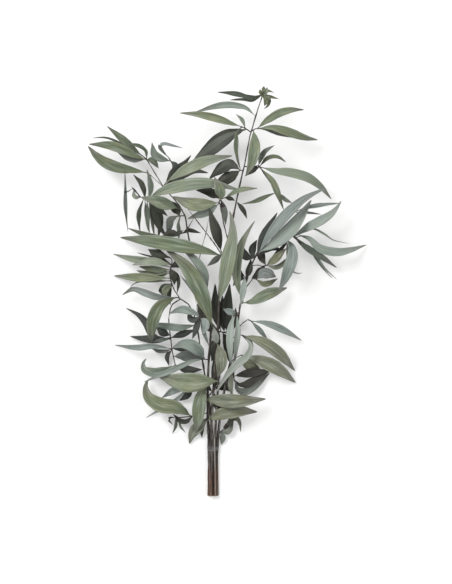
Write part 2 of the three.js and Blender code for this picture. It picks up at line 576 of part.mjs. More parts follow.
// Wood: each stem with its twigs, at its true size and swollen by the gap.
const wood = {};
const swollen = {};
const woodCurves = [];
for (const [name, rows] of Object.entries(STEMS)) {
  rows.forEach(([foot, tip, ...flat], index) => {
    const path = pointsOf(flat);
    const steps = index === 0 ? STEM_STEPS[name] : 5;
    const sides = index === 0 ? STEM_SIDES : 5;
    const made = twigSolid(path, foot, tip, steps, 0, sides);
    const fat = twigSolid(path, foot, tip, steps, GAP + 0.1, sides);
    wood[name] = wood[name] ? wood[name].add(made) : made;
    swollen[name] = swollen[name] ? swollen[name].add(fat) : fat;
    woodCurves.push(new THREE.CatmullRomCurve3(path, false, "centripetal"));
  });
}
let allSwollen = null;
for (const fat of Object.values(swollen)) allSwollen = allSwollen ? allSwollen.add(fat) : fat;
const woodEntry = entry(allSwollen);

// The point of the curves that is nearest to a plan position.
function nearestOn(curves, x, y) {
  let best = null;
  let least = Infinity;
  for (const curve of curves) {
    for (let i = 0; i <= 80; i++) {
      const p = curve.getPointAt(i / 80);
      const d = Math.hypot(p.x - x, p.y - y);
      if (d < least) {
        least = d;
        best = p;
      }
    }
  }
  return best;
}

// Twigs of the shoots come first, so that no leaf is laid through one.
const shoots = FOLIAGE.map(([name, twig, leaves]) => {
  const shoot = { name, leaves, placed: [], twig: null, curves: woodCurves };
  if (twig) {
    const path = pointsOf(twig);
    const steps = Math.max(3, 2 * (path.length - 1));
    shoot.twig = entry(twigSolid(path, 1.1, 0.9, steps, 0, 5));
    shoot.curves = [new THREE.CatmullRomCurve3(path, false, "centripetal")];
  }
  return shoot;
});

function clears(full, blade, shoot) {
  if (tooClose(blade, woodEntry, 0.1)) return false;
  for (const other of shoots) {
    if (other === shoot) {
      for (const leaf of other.placed) {
        if (tooClose(blade, leaf.blade, 0.25)) return false;
      }
      continue;
    }
    if (other.twig && tooClose(full, other.twig, LEAF_GAP)) return false;
    for (const leaf of other.placed) {
      if (tooClose(full, leaf.full, LEAF_GAP)) return false;
    }
  }
  return true;
}

const tries = [];
for (let k = 0; k < LIFTS; k++) {
  for (const shift of [0, 4, -4, 8, -8]) {
    tries.push({ lift: k * LIFT_STEP, shift, cost: k * LIFT_STEP + Math.abs(shift) * 1.2 });
  }
}
tries.sort((a, b) => a.cost - b.cost);

// Each leaf is laid at its own height, and rises or sways until it clears all that lies there.
for (const shoot of shoots) {
  for (const spec of shoot.leaves) {
    const [width, roll, , , footX, footY] = spec;
    const foot = nearestOn(shoot.curves, footX, footY);
    const plan = [...spec.slice(0, 4), ...spec.slice(6)];
    let kept = null;
    let floorLift = 0; // how far the whole leaf is raised to stay off the table
    for (const { lift, shift } of tries) {
      let line = leafPath(foot, plan, lift + floorLift, shift);
      let made = leafSolid(line.points, width, roll, line.length);
      const low = made.boundingBox().min[2];
      if (low < 0.3) {
        floorLift += 0.3 - low;
        line = leafPath(foot, plan, lift + floorLift, shift);
        made = leafSolid(line.points, width, roll, line.length);
      }
      const full = entry(made);
      const stalk = line.length > LONG_FROM ? STALK_OF_LONG : STALK_OF_SHORT;
      const centreLine = new THREE.CatmullRomCurve3(line.points, false, "centripetal");
      const away = centreLine.getPointAt(stalk).distanceTo(foot);
      const aroundFoot = new THREE.BoxGeometry(2 * away, 2 * away, 60);
      aroundFoot.translate(foot.x, foot.y, foot.z);
      const blade = entry(made.subtract(solid(aroundFoot)));
      kept = kept || { full, blade };
      if (clears(full, blade, shoot)) {
        kept = { full, blade };
        break;
      }
    }
    shoot.placed.push(kept);
  }
}

// A shoot is its twig and leaves as one body, trimmed clear of the wood it grew from.
const pieces = [];
for (const shoot of shoots) {
  let made = shoot.twig ? shoot.twig.made : null;
  for (const leaf of shoot.placed) made = made ? made.add(leaf.full.made) : leaf.full.made;
  pieces.push([shoot.name, mainBody(made.subtract(allSwollen))]);
}

// The clear band: a flat loop drawn tight round the five stems.
function bandSolid() {
  const ring = (offset) => {
    const points = [];
    for (const rows of Object.values(STEMS)) {
      const [foot, , ...flat] = rows[0];
      const curve = new THREE.CatmullRomCurve3(pointsOf(flat), false, "centripetal");
      const centre = nearestOn([curve], flat[3], BAND_Y);
      for (let i = 0; i < 24; i++) {
        const a = (i / 24) * Math.PI * 2;
        const r = foot + offset;
        points.push([centre.x + r * Math.cos(a), centre.z + r * Math.sin(a)]);
      }
    }
    return hull(points);
  };
  const shape = new THREE.Shape(ring(GAP + BAND_THICKNESS).map(([x, z]) => new THREE.Vector2(x, z)));
  shape.holes.push(new THREE.Path(ring(GAP).map(([x, z]) => new THREE.Vector2(x, z))));
  const geometry = new THREE.ExtrudeGeometry(shape, { depth: BAND_WIDTH, bevelEnabled: false });
  geometry.rotateX(Math.PI / 2);
  geometry.translate(0, BAND_Y + BAND_WIDTH / 2, 0);
  return solid(geometry);
}

// The convex outline of plan points, counter-clockwise.
function hull(points) {
  const sorted = points.slice().sort((a, b) => a[0] - b[0] || a[1] - b[1]);
  const turn = (o, a, b) => (a[0] - o[0]) * (b[1] - o[1]) - (a[1] - o[1]) * (b[0] - o[0]);
  const half = (list) => {
    const out = [];
    for (const p of list) {
      while (out.length > 1 && turn(out[out.length - 2], out[out.length - 1], p) <= 1e-6) out.pop();
      out.push(p);
    }
    out.pop();
    return out;
  };
  return [...half(sorted), ...half(sorted.slice().reverse())];
}

for (const [name, made] of Object.entries(wood)) pieces.push([name, made]);
pieces.push(["clear_band", bandSolid()]);

// ---------------------------------------------------------------------------
// Meshes
// ---------------------------------------------------------------------------

const COLOURS = {
  wood: "#5d5249",
  band: "#dfe5e6",
  leaf: "#8b9a7c",
  blue: "#93a8a2",
};

const bunch = new THREE.Group();
bunch.name = "eucalyptus_bunch";
for (const [name, made] of pieces) {
  let colour = COLOURS.leaf;
  if (name.endsWith("_stem")) colour = COLOURS.wood;
  else if (name === "clear_band") colour = COLOURS.band;
  else if (name.startsWith("right_") || name.includes("blue")) colour = COLOURS.blue;
  const mesh = new THREE.Mesh(
    geometryOf(made),
    new THREE.MeshStandardMaterial({ color: colour, roughness: 0.8 }),
  );
  mesh.name = name;
  bunch.add(mesh);
}

// The middle of the bunch's underside is the origin.
const bounds = new THREE.Box3().setFromObject(bunch);
bunch.position.set(
  -(bounds.min.x + bounds.max.x) / 2,
  -(bounds.min.y + bounds.max.y) / 2,
  -bounds.min.z,
);

const group = new THREE.Group();
group.name = "part";
group.add(bunch);

export default group;
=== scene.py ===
# %% [markdown]
# # A tied bunch of willow-leaved eucalyptus
#
# Five cut stems lie on a table, held by a clear band near their cut ends. Side shoots with long,
# powdery leaves spread from them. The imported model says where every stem, shoot and leaf is. This
# script gives them their looks: bent leaf blades, round bark, the band, and a plain studio.
# All lengths are metres. Y runs from the cut ends to the growing tips, and Z points up.

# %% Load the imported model
import json
import math
import random

import bmesh
import bpy
import numpy as np
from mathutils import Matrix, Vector, noise
from mathutils.bvhtree import BVHTree


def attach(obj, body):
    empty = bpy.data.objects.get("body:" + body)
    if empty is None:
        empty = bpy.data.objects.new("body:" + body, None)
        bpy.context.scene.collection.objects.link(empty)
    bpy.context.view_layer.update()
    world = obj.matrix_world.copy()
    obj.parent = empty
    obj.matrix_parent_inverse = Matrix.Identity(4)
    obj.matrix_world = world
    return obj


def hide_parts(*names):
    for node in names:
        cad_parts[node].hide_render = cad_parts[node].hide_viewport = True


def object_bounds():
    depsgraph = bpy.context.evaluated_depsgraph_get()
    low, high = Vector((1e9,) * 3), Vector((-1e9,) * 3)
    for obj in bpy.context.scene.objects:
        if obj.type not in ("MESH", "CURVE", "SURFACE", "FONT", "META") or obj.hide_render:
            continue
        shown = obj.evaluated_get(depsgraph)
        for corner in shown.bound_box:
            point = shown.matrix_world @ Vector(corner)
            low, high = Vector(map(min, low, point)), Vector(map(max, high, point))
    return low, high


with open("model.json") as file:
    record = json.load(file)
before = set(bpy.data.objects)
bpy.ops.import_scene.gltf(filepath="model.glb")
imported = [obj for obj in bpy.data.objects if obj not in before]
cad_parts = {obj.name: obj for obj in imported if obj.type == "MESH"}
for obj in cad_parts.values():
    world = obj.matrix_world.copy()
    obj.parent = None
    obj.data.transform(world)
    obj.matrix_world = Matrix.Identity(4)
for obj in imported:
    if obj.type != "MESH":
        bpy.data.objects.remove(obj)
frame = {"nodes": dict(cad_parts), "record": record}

cad_low, cad_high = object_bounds()
MM = 0.001
random.seed(7)
print("the bunch measures", [round(v, 3) for v in cad_high - cad_low])

# %% [markdown]
# ## Who is who
#
# Every node of the model names its finish. Nodes with a bark finish are whole stems. Nodes with a
# leaf finish are a single leaf, or a side shoot: a thin twig with the leaves that grew on it.

# %% Sort the nodes
slots = {part["node"]: part["material_slot"] for part in frame["record"]["subparts"]}
stem_nodes = [node for node in sorted(slots) if slots[node] == "bark"]
leaf_nodes = [node for node in sorted(slots) if slots[node].startswith("leaf_")]
print(len(stem_nodes), "stems and", len(leaf_nodes), "shoots and single leaves")

# %% [markdown]
# ## Working by hand
#
# Every operator acts on what is selected, so one helper clears the selection and picks one piece.
# A second one selects some points of the picked piece, and a third copies a node of the model with
# its loose triangles joined, because the model's own meshes are never changed.

# %% Picking, selecting and copying
def pick(piece):
    if bpy.context.mode != "OBJECT":
        bpy.ops.object.mode_set(mode="OBJECT")
    bpy.ops.object.select_all(action="DESELECT")
    piece.select_set(True)
    bpy.context.view_layer.objects.active = piece


def select_points(piece, test):
    """In edit mode: selects the points whose place passes the test, and nothing else."""
    skin = bmesh.from_edit_mesh(piece.data)
    for point in skin.verts:
        point.select_set(test(point.co))
    skin.select_flush_mode()
    bmesh.update_edit_mesh(piece.data)


def copy_of_node(node, name):
    piece = bpy.data.objects.new(name, frame["nodes"][node].data.copy())
    bpy.context.collection.objects.link(piece)
    pick(piece)
    piece.data.materials.clear()
    bpy.ops.mesh.customdata_custom_splitnormals_clear()
    bpy.ops.object.mode_set(mode="EDIT")
    bpy.ops.mesh.select_all(action="SELECT")
    bpy.ops.mesh.remove_doubles(threshold=0.02 * MM)
    bpy.ops.object.mode_set(mode="OBJECT")
    return piece


# %% [markdown]
# ## Reading the leaves
#
# A leaf in the model is a coarse blade: sections of four corners (left margin, upper midrib, right
# margin, lower midrib) that end in one sharp tip. Walking from the tip from section to section
# gives the leaf's centre line, its width and the way its upper side faces. The sections stand at
# known shares of the leaf's length.

# %% Walk a blade from its tip to its stalk
LONG_SECTIONS = (1.0, 0.89, 0.73, 0.52, 0.33, 0.17, 0.07)
SHORT_SECTIONS = (1.0, 0.82, 0.58, 0.33, 0.12)
SHARP_TIP = 3.0  # the corners round a leaf tip add up to less than this, in radians


def in_turn(corners):
    """Four corners put in order round their section, or None."""
    left = list(corners)
    order = [left.pop()]
    while left:
        last = order[-1]
        beside = [c for c in left if any(e.other_vert(last) is c for e in last.link_edges)]
        if not beside:
            return None
        order.append(beside[0])
        left.remove(beside[0])
    return order


def walk_blade(tip):
    """The sections of one blade, tip first, and the faces walked over."""
    faces = set(tip.link_faces)
    section = in_turn([e.other_vert(tip) for e in tip.link_edges])
    sections = []
    while section:
        sections.append([c.co.copy() for c in section])
        band = {f for c in section for f in c.link_faces} - faces
        beyond = {c for f in band for c in f.verts} - set(section)
        if len(band) != 8 or len(beyond) != 4:
            break
        section = in_turn(beyond)
        if section:
            faces |= band
    return sections, faces


def read_sections(tip, sections):
    """Centre, across and up of every section, and the leaf's half width."""
    across_before = None
    up_before = None
    rows = []
    for a, b, c, d in sections:
        pairs = [(a, c, b, d), (b, d, a, c)]
        if rows and (a - c).length < 2.2 * MM and (b - d).length < 2.2 * MM:
            pairs.sort(key=lambda p: -abs((p[1] - p[0]).dot(across_before)))
        else:
            pairs.sort(key=lambda p: -(p[1] - p[0]).length)
        left, right, rib_a, rib_b = pairs[0]
        if across_before is not None and (right - left).dot(across_before) < 0:
            left, right = right, left
        centre = (rib_a + rib_b) / 2
        up = (left + right) / 2 - centre
        up = up.normalized() if up.length > 0.05 * MM else up_before
        across_before = (right - left).normalized()
        up_before = up
        rows.append((centre, across_before, up, (right - left).length / 2))
    return rows


# %% Read every blade of one node
def read_blades(piece):
    """The leaves of a piece: stations, centres, across, up and half width; and their faces."""
    skin = bmesh.new()
    skin.from_mesh(piece.data)
    skin.faces.ensure_lookup_table()
    blades = []
    walked = set()
    for tip in skin.verts:
        if len(tip.link_faces) != 4 or sum(l.calc_angle() for l in tip.link_loops) > SHARP_TIP:
            continue
        sections, faces = walk_blade(tip)
        if len(sections) < 3:
            continue
        rows = read_sections(tip.co, sections)
        long_leaf = len(rows) > 2 and rows[2][3] > 1.2 * rows[1][3]
        stations = LONG_SECTIONS if long_leaf else SHORT_SECTIONS
        rows = rows[: len(stations) - 1]
        widest = rows[2][3] if long_leaf else rows[1][3] / 0.95
        places = [(1.0, tip.co.copy(), rows[0][1], rows[0][2])]
        places += [(t, c, a, u) for t, (c, a, u, w) in zip(stations[1:], rows)]
        blades.append({"places": places[::-1], "half": widest, "long": long_leaf})
        walked |= {f.index for f in faces}
    skin.free()
    return blades, walked


reading = {}
for node in leaf_nodes:
    look = copy_of_node(node, node + "_reading")
    reading[node] = (look, *read_blades(look))
print("leaves read:", sum(len(blades) for _, blades, _ in reading.values()))

# %% [markdown]
# ## The master leaves
#
# A willow eucalyptus leaf is a long blade with a thin stalk, a wavy margin, a midrib sunk into its
# upper side and raised under it, and a drawn-out tip. It could be drawn once for each place, but
# there are 191 of them, so three long ones and two short ones are shaped and copied.
# A flat sheet is divided, and its rows are drawn in to the outline one after the other. Along the
# leaf a master is 1 long, and across it is 1 from midrib to margin, so that a copy can take any
# length and width.

# %% The outline of a leaf
LONG_OUTLINE = (
    (0.0, 0.09), (0.06, 0.10), (0.11, 0.26), (0.17, 0.46), (0.25, 0.71), (0.33, 0.89),
    (0.42, 0.98), (0.50, 1.0), (0.60, 0.89), (0.70, 0.71), (0.80, 0.50), (0.88, 0.33),
    (0.94, 0.21), (0.98, 0.11), (1.0, 0.02),
)
SHORT_OUTLINE = (
    (0.0, 0.10), (0.06, 0.12), (0.13, 0.30), (0.22, 0.60), (0.33, 0.86), (0.45, 0.98),
    (0.58, 0.92), (0.70, 0.72), (0.82, 0.45), (0.90, 0.26), (0.96, 0.12), (1.0, 0.02),
)


def smooth_curve(points, at):
    """A smooth line through (place, value) points, read at any places."""
    x = np.array([p[0] for p in points], float)
    y = np.array([p[1] for p in points], float)
    rows = y.reshape(len(x), -1)
    slope = np.gradient(rows, x, axis=0)
    at = np.atleast_1d(np.asarray(at, float))
    i = np.clip(np.searchsorted(x, at) - 1, 0, len(x) - 2)
    width = (x[i + 1] - x[i])[:, None]
    t = ((at - x[i]) / width[:, 0])[:, None]
    value = (
        rows[i] * (1 + 2 * t) * (1 - t) ** 2
        + slope[i] * width * t * (1 - t) ** 2
        + rows[i + 1] * t**2 * (3 - 2 * t)
        + slope[i + 1] * width * t**2 * (t - 1)
    )
    return value


# %% Shape a master leaf
STEPS_ALONG = 40
STEPS_ACROSS = 10
RIB = 0.07  # half the midrib's own width
BLADE = 0.055  # thickness, as a share of the half width
FOLD = 0.3  # how far the margins rise above the midrib, as a share of the half width
STALK = 0.08  # the share of the length that is stalk
OPENING = 0.12  # the share over which the stalk opens into the blade
OUT_OF_STEP = 0.31  # the two margins wave this share of a wave apart


def master_leaf(name, outline, waves, wave_height, phase):
    bpy.ops.object.select_all(action="DESELECT")
    bpy.ops.mesh.primitive_grid_add(
        x_subdivisions=STEPS_ALONG, y_subdivisions=STEPS_ACROSS, size=1, location=(0.5, 0, 0)
    )
    leaf = bpy.context.object
    leaf.name = name
    bpy.ops.transform.resize(value=(1, 2, 1), center_override=(0, 0, 0))
    bpy.ops.object.transform_apply(location=True, rotation=True, scale=True)
    uv = leaf.data.uv_layers.active
    for loop in leaf.data.loops:
        place = leaf.data.vertices[loop.vertex_index].co
        uv.data[loop.index].uv = (place.x, (place.y + 1) / 2)
    bpy.ops.object.mode_set(mode="EDIT")
    inner = 2 / STEPS_ACROSS
    select_points(leaf, lambda p: abs(abs(p.y) - inner) < 0.01)
    bpy.ops.transform.resize(value=(1, RIB / inner, 1), center_override=(0, 0, 0))
    for row in range(STEPS_ALONG + 1):
        x = row / STEPS_ALONG
        width = max(0.012, smooth_curve(outline, x)[0, 0])
        select_points(leaf, lambda p: abs(p.x - x) < 0.2 / STEPS_ALONG)
        bpy.ops.transform.resize(value=(1, width, 1), center_override=(x, 0, 0))
    bpy.ops.object.mode_set(mode="OBJECT")
    for point in leaf.data.vertices:
        x, y, _ = point.co
        opened = min(1.0, max(0.0, (x - STALK) / OPENING))
        shift = OUT_OF_STEP if y > 0 else 0
        wave = math.sin(2 * math.pi * (waves * x + phase + shift))
        point.co.z = opened * (FOLD * abs(y) + wave_height * wave * y * y)
    thicken = leaf.modifiers.new("Blade", "SOLIDIFY")
    thicken.thickness = BLADE
    thicken.offset = 0
    bpy.ops.object.modifier_apply(modifier=thicken.name)
    return leaf


# %% Sink the midrib, round the stalk and mark the underside
RIB_SUNK = 0.035  # into the upper side, as a share of the half width
RIB_RAISED = 0.06  # out of the underside


def finish_master(leaf):
    under = leaf.data.attributes.new("under", "FLOAT", "FACE")
    for face in leaf.data.polygons:
        under.data[face.index].value = 0.0 if face.normal.z > 0 else 1.0
    side = {}
    for face in leaf.data.polygons:
        for v in face.vertices:
            side[v] = side.get(v, 0) + (1 if face.normal.z > 0 else -1)
    for point in leaf.data.vertices:
        if abs(point.co.y) > 1e-5:
            continue
        if 0.1 < point.co.x < 0.93:
            point.co.z -= RIB_SUNK if side[point.index] > 0 else RIB_RAISED
    pick(leaf)
    bpy.ops.object.mode_set(mode="EDIT")
    for share, fat in ((0.13, 1.5), (0.09, 1.8)):
        select_points(leaf, lambda p: p.x < share)
        bpy.ops.transform.resize(value=(1, 1, fat), center_override=(0, 0, 0))
    bpy.ops.object.mode_set(mode="OBJECT")
    leaf.hide_render = True
    return leaf


# %% Make the five masters
# How many waves a margin has, how high they are, and where along a wave they start.
LONG_WAVES = ((1.6, 0.16, 0.0), (2.3, 0.13, 0.4), (1.2, 0.20, 0.7))
SHORT_WAVES = ((1.1, 0.16, 0.2), (1.7, 0.12, 0.6))

masters = {True: [], False: []}
for number, (waves, height, phase) in enumerate(LONG_WAVES):
    made = master_leaf(f"master_long_{number}", LONG_OUTLINE, waves, height, phase)
    masters[True].append(finish_master(made))
for number, (waves, height, phase) in enumerate(SHORT_WAVES):
    made = master_leaf(f"master_short_{number}", SHORT_OUTLINE, waves, height, phase)
    masters[False].append(finish_master(made))
print("a master leaf has", len(masters[True][0].data.polygons), "faces")

# %% [markdown]
# ## Every leaf its own tones
#
# No two shoots of a bunch have quite the same colour: young ones are bluer, old ones are greyer,
# and a turned leaf shows its underside, painted dark as shade. Each leaf therefore carries two
# numbers that its finish reads later. They could be left to chance, but a few pale or dark leaves
# give the bunch its look, so those are written down here. The dark ones are painted shade, for
# leaves that lie in the shade of others, and the pale ones are partly painted highlight.

# %% Each shoot's own tones
# Shade runs from -1, dark, to 1, pale: partly each leaf's own tone, partly painted shade at the
# dark end and painted highlight at the pale end. Warmth runs from -1, blue-grey, to 1,
# yellow-green.
# The pairs belong to a shoot's leaves, the longest leaf first. Leaves past the end of a list, and
# shoots that are not listed, get tones by chance.
TONES = {
    "big_left_leaf": ((-0.1, 0.2),),
    "big_centre_leaf": ((-0.2, 0.2),),
    "tall_light_leaf": ((0.3, 0.3),),
    "top_blue_leaf": ((0.2, 0.2),),
    "far_left_leaf": ((-0.4, 0.3),),
    "thin_grey_leaf": ((0.2, -0.9),),
    "long_slate_leaf": ((-0.2, 0.0),),
    "left_broad_leaf": ((0.2, 0.5),),
    "left_hanging_leaf": ((0.1, 0.1),),
    "middle_right_leaf": ((0.1, 0.0),),
    "low_right_leaf": ((0.0, 0.3),),
    "foot_left_leaf": ((-0.1, -0.2),),
    "upright_left_leaf": ((0.2, 0.3),),
    "bud_shoot": (
        (-0.6, -0.4), (-0.5, -0.3), (0.1, 0.6), (0.0, 0.3), (0.2, 0.6), (0.1, 0.8), (0.3, 0.5),
        (0.2, 0.7), (0.5, -0.4), (0.0, 0.8),
    ),
    "whorl_left_shoot": ((0.3, 0.7), (0.0, 0.4), (0.1, 0.5)),
    "whorl_right_shoot": ((0.0, 0.4), (-0.1, 0.3), (0.1, 0.3)),
    "right_arch_shoot": ((0.4, 0.1), (0.0, 0.5), (-0.1, 0.2)),
    "left_top_shoot": ((-0.3, 0.2), (-0.4, -0.3), (-0.5, 0.0)),
    "left_end_shoot": ((0.3, 0.2), (0.0, -0.9), (-0.4, -0.4), (-0.3, 0.0)),
    "left_blue_shoot": ((0.3, -0.6), (-0.5, 0.3), (-0.4, 0.0)),
    "left_inner_leaf": ((-0.2, -0.1),),
    "centre_left_shoot": ((0.2, 0.6), (0.1, -0.7), (0.0, 0.2), (0.1, 0.0)),
    "right_fork_shoot": ((0.6, -0.2), (-0.3, -0.3)),
    "long_light_shoot": ((0.3, 0.4),),
    "bent_leaf_shoot": ((-0.2, 0.4), (0.3, -1.0)),
    "low_left_shoot": ((0.2, -0.3), (-0.5, -0.5), (-0.2, 0.9), (-0.4, -0.3)),
    "low_left_twiglet": ((1.0, -0.9), (0.8, -0.8), (0.5, -0.6)),
    "left_bow_shoot": ((0.4, 0.0), (0.1, -0.1)),
    "foot_left_shoot": ((-0.1, 0.6),),
    "right_big_shoot": ((0.1, 0.2), (0.7, -0.4), (0.0, -0.5)),
    "right_foot_shoot": ((0.2, 0.4), (-0.1, 0.5)),
    "low_right_shoot": ((-0.3, -0.6), (0.0, -0.4), (-0.1, -0.3)),
    "elbow_shoot": ((0.2, 0.1), (0.1, 0.0)),
    "right_thin_shoot": ((0.2, -0.4), (0.1, 0.0)),
    "hanging_twin_shoot": ((0.8, 0.2), (0.6, 0.1)),
    "right_blue_shoot": ((0.2, -0.6), (0.5, 0.0), (-0.5, -0.9)),
    "right_end_shoot": ((0.4, 0.0), (0.5, -0.1), (0.0, 0.2)),
    "right_tip_shoot": ((0.4, -0.6),),
    "right_hanging_shoot": ((0.2, -0.3), (-0.1, 0.4)),
    "right_green_shoot": ((-0.1, 0.8), (-0.2, 1.0)),
    "right_olive_shoot": ((0.1, 1.0), (0.0, -1.0)),
    "middle_end_shoot": ((0.3, 0.1), (0.1, 0.5), (0.2, 0.2)),
    "middle_taupe_shoot": ((-0.1, -0.1),),
    "short_end_shoot": ((0.3, -0.2), (-0.4, -0.4)),
}


def tones_of(node, blades):
    """Shade and warmth of every leaf of a shoot."""
    lengths = [
        sum((b[1] - a[1]).length for a, b in zip(blade["places"], blade["places"][1:]))
        for blade in blades
    ]
    order = sorted(range(len(blades)), key=lambda i: -lengths[i])
    tones = [(random.uniform(-0.6, 0.5), random.uniform(-0.6, 0.6)) for _ in blades]
    for i, tone in zip(order, TONES.get(node, ())):
        tones[i] = tone
    return tones


# %% [markdown]
# ## Laying a leaf in its place
#
# A copy of a master is bent along the centre line that was read from the model. Lattices or curve
# modifiers would do this too, but here the blade must also follow the way its upper side faces, so
# each point is moved in code: along the line by its x, across by its y, and off the blade by its z.
# A small twist towards the tip keeps two copies from looking alike.

# %% Bend one copy
SLIM = 0.94  # a dry blade is a little narrower than its solid in the model
TWIST = 20  # the most that a tip turns either way, in degrees


def lay_leaf(blade, tone, name):
    master = random.choice(masters[blade["long"]])
    piece = bpy.data.objects.new(name, master.data.copy())
    bpy.context.collection.objects.link(piece)
    places = blade["places"]
    rows = [(t, [*centre, *across, *up]) for t, centre, across, up in places]
    points = np.empty(len(piece.data.vertices) * 3)
    piece.data.vertices.foreach_get("co", points)
    points = points.reshape(-1, 3)
    start = rows[0][0]
    at = points[:, 0]
    line = smooth_curve(rows, np.clip(at, start, 1.0))
    centre = line[:, 0:3]
    foot = smooth_curve(rows, [start, start + 0.02])[:, 0:3]
    before = np.minimum(at - start, 0)[:, None]
    centre = centre + before * (foot[1] - foot[0]) / 0.02
    near = np.clip(at, start + 0.01, 0.99)
    tangent = (smooth_curve(rows, near + 0.01) - smooth_curve(rows, near - 0.01))[:, 0:3]
    tangent /= np.linalg.norm(tangent, axis=1)[:, None]
    across = line[:, 3:6]
    across = across - tangent * np.sum(across * tangent, axis=1)[:, None]
    across /= np.linalg.norm(across, axis=1)[:, None]
    up = np.cross(across, tangent)
    up *= np.sign(np.sum(up * line[:, 6:9], axis=1).mean())
    toward_tip = np.clip(at - 0.3, 0, 1)[:, None] ** 1.5
    twist = math.radians(random.uniform(-TWIST, TWIST)) * toward_tip
    turned = across * np.cos(twist) + up * np.sin(twist)
    up = up * np.cos(twist) - across * np.sin(twist)
    half = blade["half"] * SLIM
    points = centre + turned * points[:, 1:2] * half + up * points[:, 2:3] * half
    piece.data.vertices.foreach_set("co", points.ravel())
    if np.sum(np.cross(across, up) * tangent) < 0:
        piece.data.flip_normals()
    for label, value in zip(("shade", "warmth"), tone):
        store = piece.data.attributes.new(label, "FLOAT", "POINT")
        store.data.foreach_set("value", np.full(len(piece.data.vertices), value, np.float32))
    return piece


# %% Lay all leaves of a node as one piece
def leaves_of(node, blades):
    tones = tones_of(node, blades)
    made = [
        lay_leaf(blade, tone, f"{node}_leaf_{i}")
        for i, (blade, tone) in enumerate(zip(blades, tones))
    ]
    if not made:
        return None
    pick(made[0])
    for piece in made:
        piece.select_set(True)
    if len(made) > 1:
        bpy.ops.object.join()
    made[0].name = node + "_leaves"
    bpy.ops.object.shade_smooth()
    return made[0]


# %% [markdown]
# ## Twigs and stems
#
# The wood of the model has five or seven flat sides and meets its leaf stalks in sharp corners. On
# the real plant bark flows round every joint. A fine voxel remesh melts the parts into one skin,
# and smoothing rounds it. Leaf blades are taken off first, and their stalks stay on the twig. The
# remesh can leave loose crumbs and closed bubbles, which are deleted. Old stems aren't smooth, so
# two soft noises then raise ridges along them and small knots.

# %% Take the blades off a shoot
def bare_twig(node, look, walked):
    pick(look)
    look.name = node + "_twig"
    bpy.ops.object.mode_set(mode="EDIT")
    bpy.ops.mesh.select_mode(type="FACE")
    skin = bmesh.from_edit_mesh(look.data)
    skin.faces.ensure_lookup_table()
    for face in skin.faces:
        face.select_set(face.index in walked)
    bmesh.update_edit_mesh(look.data)
    bpy.ops.mesh.delete(type="FACE")
    bpy.ops.mesh.select_mode(type="VERT")
    bpy.ops.mesh.select_all(action="SELECT")
    bpy.ops.mesh.fill_holes(sides=0)
    bpy.ops.mesh.select_all(action="SELECT")
    bpy.ops.mesh.delete_loose()
    bpy.ops.object.mode_set(mode="OBJECT")
    return look


# %% Drop what the remesh leaves loose
CRUMB = 0.4 * MM**3  # a part with less volume than this is a crumb or a bubble


def drop_crumbs(piece):
    """Deletes loose crumbs outside the wood and closed bubbles inside it."""
    skin = bmesh.new()
    skin.from_mesh(piece.data)
    seen = set()
    crumbs = []
    for start in skin.verts:
        if start in seen:
            continue
        island = [start]
        seen.add(start)
        for point in island:
            for edge in point.link_edges:
                beside = edge.other_vert(point)
                if beside not in seen:
                    seen.add(beside)
                    island.append(beside)
        volume = 0.0
        for face in {f for point in island for f in point.link_faces}:
            a, *rest = [v.co for v in face.verts]
            volume += sum(a.dot(b.cross(c)) for b, c in zip(rest, rest[1:])) / 6
        if volume < CRUMB:
            crumbs += island
    bmesh.ops.delete(skin, geom=crumbs, context="VERTS")
    skin.to_mesh(piece.data)
    skin.free()


# %% Melt the wood into one round skin
def melt(piece, voxel, rounds):
    pick(piece)
    remesh = piece.modifiers.new("Melt", "REMESH")
    remesh.mode = "VOXEL"
    remesh.voxel_size = voxel
    bpy.ops.object.modifier_apply(modifier=remesh.name)
    drop_crumbs(piece)
    smooth = piece.modifiers.new("Round", "SMOOTH")
    smooth.factor = 0.5
    smooth.iterations = rounds
    bpy.ops.object.modifier_apply(modifier=smooth.name)
    bpy.ops.object.shade_smooth()
    return piece


# %% Give the wood ridges and small knots
def roughen(piece, ridge, knot):
    moved = []
    for point, side in zip(piece.data.vertices, piece.data.vertex_normals):
        x, y, z = point.co
        lift = ridge * noise.noise(Vector((x * 500, y * 30, z * 500)))
        lift += knot * noise.noise(Vector((x * 70, y * 90, z * 70)))
        moved.extend(point.co + side.vector * lift)
    piece.data.vertices.foreach_set("co", moved)
    piece.data.update()
    return piece


# %% Make the stems
STEM_VOXEL = 0.6 * MM
RIDGE = 0.35 * MM
KNOT = 0.45 * MM

pieces = []
stems = {}
for node in stem_nodes:
    stem = melt(copy_of_node(node, node + "_bark"), STEM_VOXEL, 8)
    roughen(stem, RIDGE, KNOT)
    stems[node] = stem
    pieces.append((stem, node, "bark"))
    print(node, len(stem.data.polygons), "faces")

# %% [markdown]
# ## Joining a shoot to its stem
#
# The model keeps a hair of air between a shoot and the stem it grew from. On the real bunch they
# are grown together, so the foot of each twig is drawn up to the stem and just into it.

# %% Draw a foot into the stem
REACH = 1.2 * MM  # points nearer to a stem than this are drawn to it
DEPTH = 0.2 * MM  # how far into the bark they go


def surface_of(objects):
    points, faces = [], []
    for piece in objects:
        base = len(points)
        points += [v.co.copy() for v in piece.data.vertices]
        faces += [[base + v for v in f.vertices] for f in piece.data.polygons]
    return BVHTree.FromPolygons(points, faces)


stem_surface = surface_of(stems.values())


def draw_in(piece):
    for point in piece.data.vertices:
        place, _, _, distance = stem_surface.find_nearest(point.co, REACH)
        if place is not None:
            pull = (1 - distance / REACH) ** 0.5
            toward = (place - point.co).normalized()
            point.co += toward * min(0.95, 1.4 * pull) * (distance + DEPTH)


# %% Make the shoots
TWIG_VOXEL = 0.4 * MM

